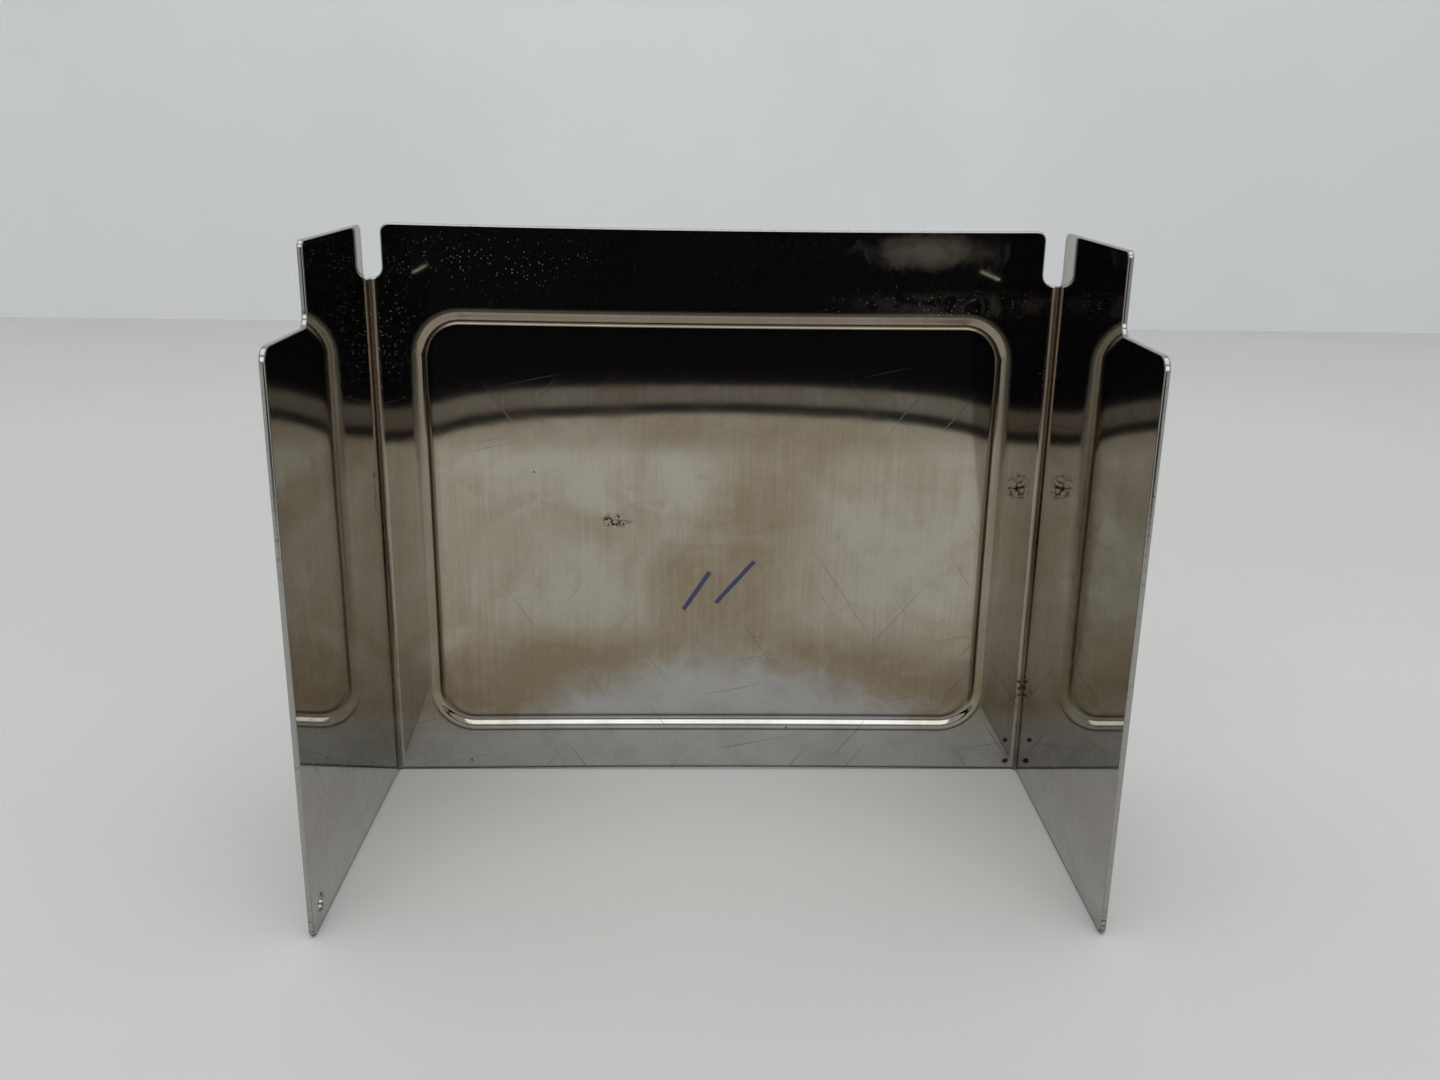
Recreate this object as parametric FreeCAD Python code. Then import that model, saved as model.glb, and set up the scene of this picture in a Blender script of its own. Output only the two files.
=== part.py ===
"""Three-sided guard folded from one sheet of chromed steel.

The sheet stands on its bottom edge. Its back panel lies across the rear and
two side panels come forward from it, so the guard is open at the front, the
top and the bottom. Panel coordinates are used for each flat panel: the first
runs along the panel, the second outward from its inner face, the third up.
"""
import FreeCAD, Part
import math
import os

# Sheet and folds, in millimetres and degrees.
SHEET_THICKNESS = 1.4
INNER_WIDTH = 185.0
HEIGHT = 159.2
SIDE_DEPTH = 87.1
INNER_BEND_RADIUS = 1.8
LEFT_FLARE = 1.8
RIGHT_FLARE = -0.3

# Top and bottom edges of the back panel, pulled in by the pressing.
EDGE_PULL_IN = 0.55
PULLED_EDGE_HALF_LENGTH = 86.0

# Side panels: a tall tab by the fold, then a step down to the free edge.
TAB_DEPTH = 56.2
STEP_HEIGHT = 140.0
TAB_CORNER_RADIUS = 1.8
STEP_INNER_RADIUS = 3.0
FRONT_TOP_RADIUS = 3.5
FRONT_BOTTOM_RADIUS = 2.0

# Relief notches at the top of the two folds. Each pair holds how far the
# notch reaches from the fold along the side panel and along the back panel.
NOTCH_BOTTOM = 144.8
LEFT_NOTCH_REACH = (5.6, 3.3)
RIGHT_NOTCH_REACH = (3.2, 4.1)
NOTCH_BOTTOM_RADIUS = 3.0
NOTCH_MOUTH_RADIUS = 2.5

# Rack hole through the left side panel.
RACK_HOLE_RADIUS = 2.1
RACK_HOLE_FROM_EDGE = 6.6
RACK_HOLE_HEIGHT = 5.9

# Pressed step: a slope out to a narrow valley, then a small lip back.
SLOPE_WIDTH = 2.2
SLOPE_RISE = 0.85
VALLEY_WIDTH = 0.3
LIP_WIDTH = 1.1
LIP_RISE = 0.3

# Pressed field of the back panel.
BACK_FIELD_LEFT = -81.6
BACK_FIELD_RIGHT = 80.5
BACK_FIELD_BOTTOM = 13.2
BACK_FIELD_TOP = 136.2
BACK_FIELD_CORNER = 12.5

# Length by which cutting bodies run past the sheet.
OVERRUN = 8.0

NODE_NAME = "cover_sheet"


def vector(along, outward, up):
    return FreeCAD.Vector(along, outward, up)


def unit(point_a, point_b):
    run = math.dist(point_a, point_b)
    return ((point_b[0] - point_a[0]) / run, (point_b[1] - point_a[1]) / run)


def corner_arc(before, corner, after, radius):
    """Start, middle and end of the arc that rounds a polygon's corner."""
    to_before = unit(corner, before)
    to_after = unit(corner, after)
    cosine = to_before[0] * to_after[0] + to_before[1] * to_after[1]
    half_angle = math.acos(cosine) / 2
    tangent = radius / math.tan(half_angle)
    start = (corner[0] + tangent * to_before[0], corner[1] + tangent * to_before[1])
    end = (corner[0] + tangent * to_after[0], corner[1] + tangent * to_after[1])
    middle_of_chord = ((start[0] + end[0]) / 2, (start[1] + end[1]) / 2)
    towards = unit(corner, middle_of_chord)
    reach = radius / math.sin(half_angle) - radius
    middle = (corner[0] + reach * towards[0], corner[1] + reach * towards[1])
    return start, middle, end


def rounded_wire(corners, lift):
    """Closed wire through (along, up, radius) corners.

    lift is the wire's distance outward from the inner face."""
    points = [(along, up) for along, up, _ in corners]
    radii = [radius for _, _, radius in corners]
    count = len(points)
    stretches = []
    for index in range(count):
        if radii[index] > 0:
            before = points[index - 1]
            after = points[(index + 1) % count]
            stretches.append(corner_arc(before, points[index], after, radii[index]))
        else:
            stretches.append((points[index],))
    edges = []
    for index, stretch in enumerate(stretches):
        spots = [vector(along, lift, up) for along, up in stretch]
        if len(spots) == 3:
            edges.append(Part.Arc(*spots).toShape())
        following = stretches[(index + 1) % count][0]
        edges.append(Part.LineSegment(spots[-1], vector(following[0], lift, following[1])).toShape())
    return Part.Wire(edges)


def prism(corners, low, high):
    """Body over an outline, from the outward distance low to high."""
    return Part.Face(rounded_wire(corners, low)).extrude(vector(0, high - low, 0))


def inset(corners, distance):
    """The corners of a convex anticlockwise outline moved inward by distance."""
    count = len(corners)
    moved = []
    for index in range(count):
        before = corners[index - 1]
        corner = corners[index]
        after = corners[(index + 1) % count]
        first = unit(before[:2], corner[:2])
        second = unit(corner[:2], after[:2])
        first_normal = (-first[1], first[0])
        second_normal = (-second[1], second[0])
        bisector = (first_normal[0] + second_normal[0], first_normal[1] + second_normal[1])
        scale = distance / (1 + first_normal[0] * second_normal[0] + first_normal[1] * second_normal[1])
        along = corner[0] + scale * bisector[0]
        up = corner[1] + scale * bisector[1]
        moved.append((along, up, max(corner[2] - distance, 0)))
    return moved


def pressing(outline, base):
    """Volume between the plain sheet's face at base and the pressed face."""
    valley = inset(outline, SLOPE_WIDTH)
    lip_foot = inset(valley, VALLEY_WIDTH)
    field = inset(lip_foot, LIP_WIDTH)
    deep = base + SLOPE_RISE
    field_level = deep - LIP_RISE
    slope = Part.makeLoft([rounded_wire(outline, base), rounded_wire(valley, deep)], True, True)
    lip = Part.makeLoft([rounded_wire(lip_foot, deep), rounded_wire(field, field_level)], True, True)
    return slope.cut(lip)


def pressed(plate, outline):
    """Plate with its field pressed outward at constant thickness."""
    return plate.fuse(pressing(outline, SHEET_THICKNESS)).cut(pressing(outline, 0))


def side_outline(bend_tangent):
    return [
        (bend_tangent, 0, 0),
        (SIDE_DEPTH, 0, FRONT_BOTTOM_RADIUS),
        (SIDE_DEPTH, STEP_HEIGHT, FRONT_TOP_RADIUS),
        (TAB_DEPTH, STEP_HEIGHT, STEP_INNER_RADIUS),
        (TAB_DEPTH, HEIGHT, TAB_CORNER_RADIUS),
        (bend_tangent, HEIGHT, 0),
    ]


def back_field_outline():
    return [
        (BACK_FIELD_LEFT, BACK_FIELD_BOTTOM, BACK_FIELD_CORNER),
        (BACK_FIELD_RIGHT, BACK_FIELD_BOTTOM, BACK_FIELD_CORNER),
        (BACK_FIELD_RIGHT, BACK_FIELD_TOP, BACK_FIELD_CORNER),
        (BACK_FIELD_LEFT, BACK_FIELD_TOP, BACK_FIELD_CORNER),
    ]


def fold_tangent(flare):
    """Distance from a fold's inner corner to where its inside bend starts."""
    return INNER_BEND_RADIUS * math.tan(math.radians(90 - flare) / 2)


def side_panel(flare):
    return prism(side_outline(fold_tangent(flare)), 0, SHEET_THICKNESS)


def rack_hole():
    centre = vector(SIDE_DEPTH - RACK_HOLE_FROM_EDGE, -OVERRUN, RACK_HOLE_HEIGHT)
    return Part.makeCylinder(RACK_HOLE_RADIUS, 3 * OVERRUN, centre, vector(0, 1, 0))


def fold(flare):
    """Bent strip of the right-hand fold, in the whole part's coordinates."""
    tangent = fold_tangent(flare)
    turn = 90 - flare
    outer_radius = INNER_BEND_RADIUS + SHEET_THICKNESS
    centre = vector(INNER_WIDTH / 2 - tangent, -INNER_BEND_RADIUS, 0)
    strip = Part.makeCylinder(outer_radius, HEIGHT, centre, vector(0, 0, 1), turn)
    core = Part.makeCylinder(INNER_BEND_RADIUS, HEIGHT, centre, vector(0, 0, 1), turn)
    bent = strip.cut(core)
    bent.rotate(centre, vector(0, 0, 1), flare)
    return bent


def place_right(panel, flare):
    """Stand a side panel's coordinates at the right-hand fold."""
    placed = panel.copy()
    placed.rotate(vector(0, 0, 0), vector(0, 0, 1), flare - 90)
    placed.translate(vector(INNER_WIDTH / 2, 0, 0))
    return placed


def mirrored(shape):
    return shape.mirror(vector(0, 0, 0), vector(1, 0, 0))


def back_panel():
    left = -INNER_WIDTH / 2 + fold_tangent(LEFT_FLARE)
    right = INNER_WIDTH / 2 - fold_tangent(RIGHT_FLARE)
    outline = [(left, 0, 0), (right, 0, 0), (right, HEIGHT, 0), (left, HEIGHT, 0)]
    return pressed(prism(outline, 0, SHEET_THICKNESS), back_field_outline())


def pulled_edge(level, pull):
    """Sliver between a straight edge and the arc that the pressing left."""
    start = vector(-PULLED_EDGE_HALF_LENGTH, -OVERRUN, level)
    middle = vector(0, -OVERRUN, level + pull)
    end = vector(PULLED_EDGE_HALF_LENGTH, -OVERRUN, level)
    wire = Part.Wire([Part.Arc(start, middle, end).toShape(), Part.LineSegment(end, start).toShape()])
    return Part.Face(wire).extrude(vector(0, 3 * OVERRUN, 0))


def notch_profile(reach):
    """Wire of one half of a notch: from past the fold to its wall at reach."""
    mouth = reach + NOTCH_MOUTH_RADIUS
    round_start = HEIGHT - NOTCH_MOUTH_RADIUS
    slant = NOTCH_MOUTH_RADIUS * math.sqrt(0.5)
    floor_left = vector(-OVERRUN, 0, NOTCH_BOTTOM)
    floor_right = vector(reach - NOTCH_BOTTOM_RADIUS, 0, NOTCH_BOTTOM)
    bend_middle = vector(
        reach - NOTCH_BOTTOM_RADIUS * (1 - math.sqrt(0.5)), 0,
        NOTCH_BOTTOM + NOTCH_BOTTOM_RADIUS * (1 - math.sqrt(0.5)))
    wall_low = vector(reach, 0, NOTCH_BOTTOM + NOTCH_BOTTOM_RADIUS)
    wall_high = vector(reach, 0, round_start)
    mouth_middle = vector(mouth - slant, 0, round_start + slant)
    mouth_end = vector(mouth, 0, HEIGHT)
    top_right = vector(mouth, 0, HEIGHT + OVERRUN)
    top_left = vector(-OVERRUN, 0, HEIGHT + OVERRUN)
    return Part.Wire([
        Part.LineSegment(floor_left, floor_right).toShape(),
        Part.Arc(floor_right, bend_middle, wall_low).toShape(),
        Part.LineSegment(wall_low, wall_high).toShape(),
        Part.Arc(wall_high, mouth_middle, mouth_end).toShape(),
        Part.LineSegment(mouth_end, top_right).toShape(),
        Part.LineSegment(top_right, top_left).toShape(),
        Part.LineSegment(top_left, floor_left).toShape(),
    ])


def notch_half(reach, inner_margin):
    """Cutting body of one half of a notch, in panel coordinates."""
    body = Part.Face(notch_profile(reach)).extrude(vector(0, OVERRUN + inner_margin, 0))
    body.translate(vector(0, -inner_margin, 0))
    return body


def notch(reach, flare):
    """Cutting body of a notch at the right-hand fold."""
    side_reach, back_reach = reach
    margin = fold_tangent(flare)
    through_side = place_right(notch_half(side_reach, margin), flare)
    through_back = mirrored(notch_half(back_reach, margin))
    through_back.translate(vector(INNER_WIDTH / 2, 0, 0))
    return through_side.fuse(through_back)


def cover_sheet():
    left_side = side_panel(LEFT_FLARE).cut(rack_hole())
    sheet = back_panel().fuse([
        place_right(side_panel(RIGHT_FLARE), RIGHT_FLARE),
        fold(RIGHT_FLARE),
        mirrored(place_right(left_side, LEFT_FLARE)),
        mirrored(fold(LEFT_FLARE)),
    ])
    cutters = [
        notch(RIGHT_NOTCH_REACH, RIGHT_FLARE),
        mirrored(notch(LEFT_NOTCH_REACH, LEFT_FLARE)),
        pulled_edge(0, EDGE_PULL_IN),
        pulled_edge(HEIGHT, -EDGE_PULL_IN),
    ]
    return sheet.cut(cutters).removeSplitter()


def stand_on_centre(shape):
    """Move the shape so that the middle of its footprint is the origin."""
    box = shape.optimalBoundingBox()
    centred = shape.copy()
    centred.translate(vector(-(box.XMin + box.XMax) / 2, -(box.YMin + box.YMax) / 2, -box.ZMin))
    return centred


os.makedirs("parts", exist_ok=True)
part = stand_on_centre(cover_sheet())
part.exportStep(os.path.join("parts", NODE_NAME + ".step"))
limits = part.optimalBoundingBox()
print(NODE_NAME, "solids", len(part.Solids), "valid", part.isValid(), "volume mm3", round(part.Volume, 1))
print("x", round(limits.XMin, 3), round(limits.XMax, 3), "y", round(limits.YMin, 3), round(limits.YMax, 3),
      "z", round(limits.ZMin, 3), round(limits.ZMax, 3))
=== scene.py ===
"""Looks of the folded chrome cover: one pressed sheet, meshed from its developed shape."""
import math

import bpy
import numpy as np
from mathutils import Matrix, Vector
from mathutils.geometry import delaunay_2d_cdt


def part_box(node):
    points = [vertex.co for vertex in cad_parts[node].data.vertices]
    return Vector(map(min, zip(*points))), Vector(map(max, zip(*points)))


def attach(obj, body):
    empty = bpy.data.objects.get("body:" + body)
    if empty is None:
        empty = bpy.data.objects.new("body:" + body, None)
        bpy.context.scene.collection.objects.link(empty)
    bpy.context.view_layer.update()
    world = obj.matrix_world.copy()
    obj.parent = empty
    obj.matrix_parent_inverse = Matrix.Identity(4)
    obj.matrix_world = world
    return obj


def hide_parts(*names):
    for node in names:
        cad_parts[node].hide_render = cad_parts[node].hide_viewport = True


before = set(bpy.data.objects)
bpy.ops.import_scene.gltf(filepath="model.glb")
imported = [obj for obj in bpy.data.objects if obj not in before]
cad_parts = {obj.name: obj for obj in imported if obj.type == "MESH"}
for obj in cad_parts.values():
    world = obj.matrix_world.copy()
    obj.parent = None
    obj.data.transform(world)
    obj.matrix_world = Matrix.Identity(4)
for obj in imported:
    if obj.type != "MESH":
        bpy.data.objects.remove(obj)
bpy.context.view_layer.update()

MM = 0.001
NODE = "cover_sheet"

_, box_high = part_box(NODE)

# ---------------------------------------------------------------- the sheet, in millimetres
THICKNESS = 1.4
HALF_WIDTH = 92.5
HEIGHT = 159.2
SIDE_DEPTH = 87.1
BEND_RADIUS = 1.8
FLARE = {-1: math.radians(1.8), 1: math.radians(-0.3)}
PULL_IN = 0.55
PULL_HALF_LENGTH = 86.0

TAB_DEPTH = 56.2
STEP_HEIGHT = 140.0
TAB_RADIUS = 1.8
STEP_RADIUS = 3.0
FRONT_TOP_RADIUS = 3.5
FRONT_BOTTOM_RADIUS = 2.0
NOTCH_BOTTOM = 144.8
NOTCH_REACH = {-1: (5.6, 3.3), 1: (3.2, 4.1)}
NOTCH_BOTTOM_RADIUS = 3.0
NOTCH_MOUTH_RADIUS = 2.5
HOLE_RADIUS = 2.1
HOLE_FROM_EDGE = 6.6
HOLE_HEIGHT = 5.9

BACK_FIELD = ((-81.6, 13.2), (80.5, 13.2), (80.5, 136.2), (-81.6, 136.2))
BACK_FIELD_CORNER = 12.5

# Slope of the pressed step against the distance in from the field's outline. The lower run is
# drawn in wider than the others.
PRESSED_SLOPE = (
    (-0.1, 0.0), (0.0, 0.05), (0.5, 0.35), (1.0, 0.44), (1.6, 0.42), (2.0, 0.2), (2.2, 0.04),
    (2.35, -0.06), (2.65, -0.22), (2.9, -0.3), (3.2, -0.22), (3.6, -0.04), (3.9, 0.0))
LOWER_SLOPE = (
    (-0.45, 0.0), (-0.3, 0.05), (0.3, 0.08), (0.9, 0.26), (1.1, 0.38), (2.25, 0.4), (2.5, 0.3),
    (2.95, 0.11), (3.1, 0.0), (3.5, -0.22), (4.2, -0.3), (4.6, -0.22), (5.0, 0.0))
FIELD_DEPTH = 0.5
RING_DISTANCES = (
    -0.9, -0.45, -0.3, -0.1, 0.0, 0.2, 0.5, 0.75, 1.0, 1.3, 1.6, 1.8, 2.0, 2.2, 2.35, 2.5, 2.65, 2.8,
    2.95, 3.1, 3.3, 3.5, 3.7, 3.9, 4.2, 4.6, 5.0, 5.6)
RING_SPACING = 1.6
CORNER_STEPS = 18

# The upper half of the back panel leans gently inward between the folds, and its field is
# deeper in its middle than at its side edges.
LEAN_REACH = 0.37
LEAN_MIDDLE = 108.0
LEAN_SPREAD = 25.0
HOLLOW_DEPTH = 0.33
HOLLOW_EDGE = 76.6
HOLLOW_SPREAD = 9.0
HOLLOW_SPAN = (18.0, 34.0, 60.0, 132.0)

GRID_SPACING = 3.0
EDGE_RADIUS = 0.45
EDGE_ARC_STEPS = 5
EDGE_SPACING = 1.2
BEND_STEPS = 10
BEND_SPACING_UP = 1.6
BEND_CLEARANCE = 3.2
OUTLINE_ARC_STEP = math.radians(11)
HOLE_STEPS = 40
CLOSEST_ON_EDGE = 0.12
CLOSEST_INSIDE = 0.11
CLOSEST_TO_EDGE = 0.35

INNER_SLOT, OUTER_SLOT, EDGE_SLOT = 0, 1, 2

# The CAD solid's right-hand extreme and its pressed outer face place the folds in the frame.
RIGHT_EXTREME = 93.8905
BACK_OUTER_RISE = 0.85
ORIGIN_X = box_high[0] / MM - RIGHT_EXTREME
ORIGIN_Y = box_high[1] / MM - THICKNESS - BACK_OUTER_RISE


def fold_tangent(side):
    """Length of each flat taken up by the bend, measured from where the flats would meet."""
    return BEND_RADIUS * math.tan((math.pi / 2 - FLARE[side]) / 2)


def bend_start(side):
    """Developed distance from the middle of the back panel to the start of a bend."""
    return HALF_WIDTH - fold_tangent(side)


def bend_end(side):
    return bend_start(side) + BEND_RADIUS * (math.pi / 2 - FLARE[side])


def from_depth(depth, side):
    """Signed developed coordinate of a depth along a side panel."""
    return side * (bend_end(side) + depth - fold_tangent(side))


def base_point(s):
    """Plan position and outward normal of the plain sheet's inner face, for an array of s."""
    side = np.where(s < 0, -1.0, 1.0)
    run = np.abs(s)
    point = np.zeros((len(s), 2))
    normal = np.zeros((len(s), 2))
    for sign in (-1, 1):
        flare = FLARE[sign]
        here = side == sign
        start, end = bend_start(sign), bend_end(sign)
        flat = here & (run <= start)
        point[flat] = np.stack([run[flat], np.zeros(flat.sum())], 1)
        normal[flat] = (0.0, 1.0)
        bend = here & (run > start) & (run < end)
        turn = (run[bend] - start) / BEND_RADIUS
        normal[bend] = np.stack([np.sin(turn), np.cos(turn)], 1)
        point[bend] = np.array([start, -BEND_RADIUS]) + BEND_RADIUS * normal[bend]
        panel = here & (run >= end)
        depth = fold_tangent(sign) + run[panel] - end
        point[panel] = np.stack([HALF_WIDTH + math.sin(flare) * depth, -math.cos(flare) * depth], 1)
        normal[panel] = (math.cos(flare), math.sin(flare))
    point[:, 0] *= side
    normal[:, 0] *= side
    return point, normal


# ---------------------------------------------------------------- pressed field
def unit(vector):
    return vector / np.linalg.norm(vector)


def inset_polygon(corners, distance):
    """Corners of a convex anticlockwise polygon moved inward."""
    corners = [np.array(c, float) for c in corners]
    moved = []
    for index, corner in enumerate(corners):
        first = unit(corner - corners[index - 1])
        second = unit(corners[(index + 1) % len(corners)] - corner)
        normal_a = np.array([-first[1], first[0]])
        normal_b = np.array([-second[1], second[0]])
        moved.append(corner + distance * (normal_a + normal_b) / (1 + normal_a @ normal_b))
    return moved


def depth_inside(points, core, radius):
    """Distance in from a rounded outline, whose core is its corners' centres."""
    outside = np.full(len(points), np.inf)
    inside = np.full(len(points), np.inf)
    for index, corner in enumerate(core):
        after = core[(index + 1) % len(core)]
        along = after - corner
        length = np.linalg.norm(along)
        along = along / length
        relative = points - corner
        run = np.clip(relative @ along, 0, length)
        outside = np.minimum(outside, np.linalg.norm(relative - run[:, None] * along, axis=1))
        inside = np.minimum(inside, relative @ np.array([-along[1], along[0]]))
    return np.where(inside > 0, radius + inside, radius - outside)


FIELD = (inset_polygon(BACK_FIELD, BACK_FIELD_CORNER), BACK_FIELD_CORNER)


def rise_table(slopes):
    """Distances in from the outline, and the rise reached there, ending at the field's depth."""
    at, slope = zip(*slopes)
    depths = np.linspace(at[0], at[-1], 400)
    values = np.interp(depths, at, slope)
    rise = np.concatenate([[0.0], np.cumsum((values[1:] + values[:-1]) / 2 * np.diff(depths))])
    peak = int(np.argmax(rise))
    fall = rise[peak] - rise[peak:]
    rise[peak:] = rise[peak] - fall * (rise[peak] - FIELD_DEPTH) / fall[-1]
    return depths, rise


RISE = rise_table(PRESSED_SLOPE)
LOWER_RISE = rise_table(LOWER_SLOPE)


def downward_facing(points, core):
    """1 below the field's middle part, 0 beside and above it, turning smoothly at its corners."""
    nearest = np.clip(points, core[0], core[2])
    below = np.clip(nearest[:, 1] - points[:, 1], 0, None)
    away = np.linalg.norm(points - nearest, axis=1)
    in_core = (points[:, 1] < core[0][1] + 1).astype(float)
    share = np.where(away < 1e-3, in_core, below / np.maximum(away, 1e-6))
    return share ** 2 * (3 - 2 * share)


def pressed_rise(points):
    """How far the sheet lies outward of its plain shape at each developed point."""
    core, radius = FIELD
    depth = depth_inside(points, core, radius)
    lower = downward_facing(points, core)
    rise = (1 - lower) * np.interp(depth, *RISE) + lower * np.interp(depth, *LOWER_RISE)
    across = 1 - np.clip(np.abs(points[:, 0]) / PULL_HALF_LENGTH, 0, 1) ** 2
    lean = -LEAN_REACH * (1 + np.tanh((points[:, 1] - LEAN_MIDDLE) / LEAN_SPREAD))
    inward = np.clip(HOLLOW_EDGE - np.abs(points[:, 0]), 0, None)
    window = np.interp(points[:, 1], HOLLOW_SPAN, (0.0, 1.0, 1.0, 0.0))
    hollow = HOLLOW_DEPTH * (1 - np.exp(-inward / HOLLOW_SPREAD)) * window ** 2 * (3 - 2 * window)
    return rise + across * lean + hollow


def surface(points, offset):
    """Positions in millimetres of developed points, offset outward from the inner face."""
    plan, normal = base_point(points[:, 0])
    reach = (pressed_rise(points) + offset)[:, None]
    plan = plan + normal * reach + np.array([ORIGIN_X, ORIGIN_Y])
    pull = PULL_IN * np.clip(1 - (points[:, 0] / PULL_HALF_LENGTH) ** 2, 0, None)
    height = points[:, 1] + pull * (1 - 2 * points[:, 1] / HEIGHT)
    return np.column_stack([plan, height])


def face_normals(points, offset):
    """Unit normals of the offset surface, from short steps along and up the blank."""
    step = 0.02
    along = surface(points + [step, 0], offset) - surface(points - [step, 0], offset)
    up = surface(points + [0, step], offset) - surface(points - [0, step], offset)
    normal = np.cross(up, along)
    return normal / np.linalg.norm(normal, axis=1)[:, None]


# ---------------------------------------------------------------- outline of the flat blank
def rounded_loop(corners):
    """Points and inward normals along an anticlockwise outline of (s, z, radius) corners."""
    count = len(corners)
    spots, normals = [], []
    tangents = []
    for index, (s, z, radius) in enumerate(corners):
        here = np.array([s, z])
        before = unit(here - np.array(corners[index - 1][:2]))
        after = unit(np.array(corners[(index + 1) % count][:2]) - here)
        turn = math.atan2(before[0] * after[1] - before[1] * after[0], before @ after)
        tangents.append((here, before, after, turn, radius * math.tan(abs(turn) / 2), radius))
    for index, (here, before, after, turn, tangent, radius) in enumerate(tangents):
        steps = max(4, round(abs(turn) / OUTLINE_ARC_STEP))
        start_normal = np.array([-before[1], before[0]])
        centre = here - before * tangent + start_normal * radius * math.copysign(1, turn)
        for step in range(steps + 1):
            angle = turn * step / steps
            spin = np.array([[math.cos(angle), -math.sin(angle)], [math.sin(angle), math.cos(angle)]])
            normal = spin @ start_normal
            spots.append(centre - normal * radius * math.copysign(1, turn))
            normals.append(normal)
        end = spots[-1]
        following = tangents[(index + 1) % count]
        goal = following[0] - following[1] * following[4]
        for share in line_shares(end, goal):
            spots.append(end + (goal - end) * share)
            normals.append(np.array([-after[1], after[0]]))
    return np.array(spots), np.array(normals)


def line_shares(start, end):
    """Shares of a straight stretch at which it gets points: close together across a bend."""
    length = np.linalg.norm(end - start)
    count = max(2, round(length / EDGE_SPACING))
    shares = set(np.linspace(0, 1, count + 1)[1:-1])
    run = end[0] - start[0]
    if abs(run) > 1:
        for sign in (-1, 1):
            for s in bend_columns(sign):
                share = (s - start[0]) / run
                if 0.0005 < share < 0.9995:
                    shares.add(share)
    ordered = sorted(shares)
    kept = []
    for share in ordered:
        if not kept or (share - kept[-1]) * length > CLOSEST_ON_EDGE:
            kept.append(share)
    return kept


def bend_columns(side):
    """Developed positions of the mesh columns across one bend, with one more on each flat."""
    start, end = bend_start(side), bend_end(side)
    return [side * (start + (end - start) * step / BEND_STEPS) for step in range(-1, BEND_STEPS + 2)]


def blank_corners():
    """Corners of the flat blank, anticlockwise from the right panel's lower front one."""
    right, left = [], []
    for sign, corners in ((1, right), (-1, left)):
        side_reach, back_reach = NOTCH_REACH[sign]
        notch_side = from_depth(side_reach, sign)
        notch_back = sign * (HALF_WIDTH - back_reach)
        corners += [
            (from_depth(SIDE_DEPTH, sign), 0.0, FRONT_BOTTOM_RADIUS),
            (from_depth(SIDE_DEPTH, sign), STEP_HEIGHT, FRONT_TOP_RADIUS),
            (from_depth(TAB_DEPTH, sign), STEP_HEIGHT, STEP_RADIUS),
            (from_depth(TAB_DEPTH, sign), HEIGHT, TAB_RADIUS),
            (notch_side, HEIGHT, NOTCH_MOUTH_RADIUS),
            (notch_side, NOTCH_BOTTOM, NOTCH_BOTTOM_RADIUS),
            (notch_back, NOTCH_BOTTOM, NOTCH_BOTTOM_RADIUS),
            (notch_back, HEIGHT, NOTCH_MOUTH_RADIUS),
        ]
    return right + left[::-1]


def hole_loop():
    """Clockwise loop of the rack hole, so that its inward normals point into the metal."""
    centre = np.array([from_depth(SIDE_DEPTH - HOLE_FROM_EDGE, -1), HOLE_HEIGHT])
    turns = -np.linspace(0, 2 * math.pi, HOLE_STEPS, endpoint=False)
    normals = np.column_stack([np.cos(turns), np.sin(turns)])
    return centre + HOLE_RADIUS * normals, normals


# ---------------------------------------------------------------- points inside the outline
def inside_polygon(points, loop):
    """True for each point that lies inside a closed loop."""
    crossings = np.zeros(len(points), int)
    after = np.roll(loop, -1, axis=0)
    for (x0, z0), (x1, z1) in zip(loop, after):
        if z0 == z1:
            continue
        spans = (points[:, 1] > z0) != (points[:, 1] > z1)
        at = x0 + (points[:, 1] - z0) * (x1 - x0) / (z1 - z0)
        crossings += spans & (points[:, 0] < at)
    return crossings % 2 == 1


def clearance(points, loop):
    """Distance from each point to a closed loop."""
    nearest = np.full(len(points), np.inf)
    after = np.roll(loop, -1, axis=0)
    for start, end in zip(loop, after):
        along = end - start
        length2 = max(along @ along, 1e-12)
        share = np.clip((points - start) @ along / length2, 0, 1)
        nearest = np.minimum(nearest, np.linalg.norm(points - start - share[:, None] * along, axis=1))
    return nearest


def ring_points():
    """Points along lines parallel to the field's outline, denser across its pressed step."""
    core, radius = FIELD
    found = []
    for distance in RING_DISTANCES:
        reach = radius - distance
        for index, corner in enumerate(core):
            after = core[(index + 1) % len(core)]
            along = unit(after - corner)
            outward = np.array([along[1], -along[0]])
            count = max(1, round(np.linalg.norm(after - corner) / RING_SPACING))
            shares = np.arange(count + 1) / count
            found.append(corner + shares[:, None] * (after - corner) + outward * reach)
            before = unit(corner - core[index - 1])
            start = math.atan2(-before[0], before[1])
            angles = start + math.pi / 2 * np.arange(1, CORNER_STEPS) / CORNER_STEPS
            found.append(corner + reach * np.column_stack([np.cos(angles), np.sin(angles)]))
    return np.concatenate(found)


def bend_points():
    """Columns of points over both bends."""
    heights = np.arange(BEND_SPACING_UP / 2, HEIGHT, BEND_SPACING_UP)
    columns = [s for sign in (-1, 1) for s in bend_columns(sign)]
    return np.array([(s, z) for s in columns for z in heights])


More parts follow.
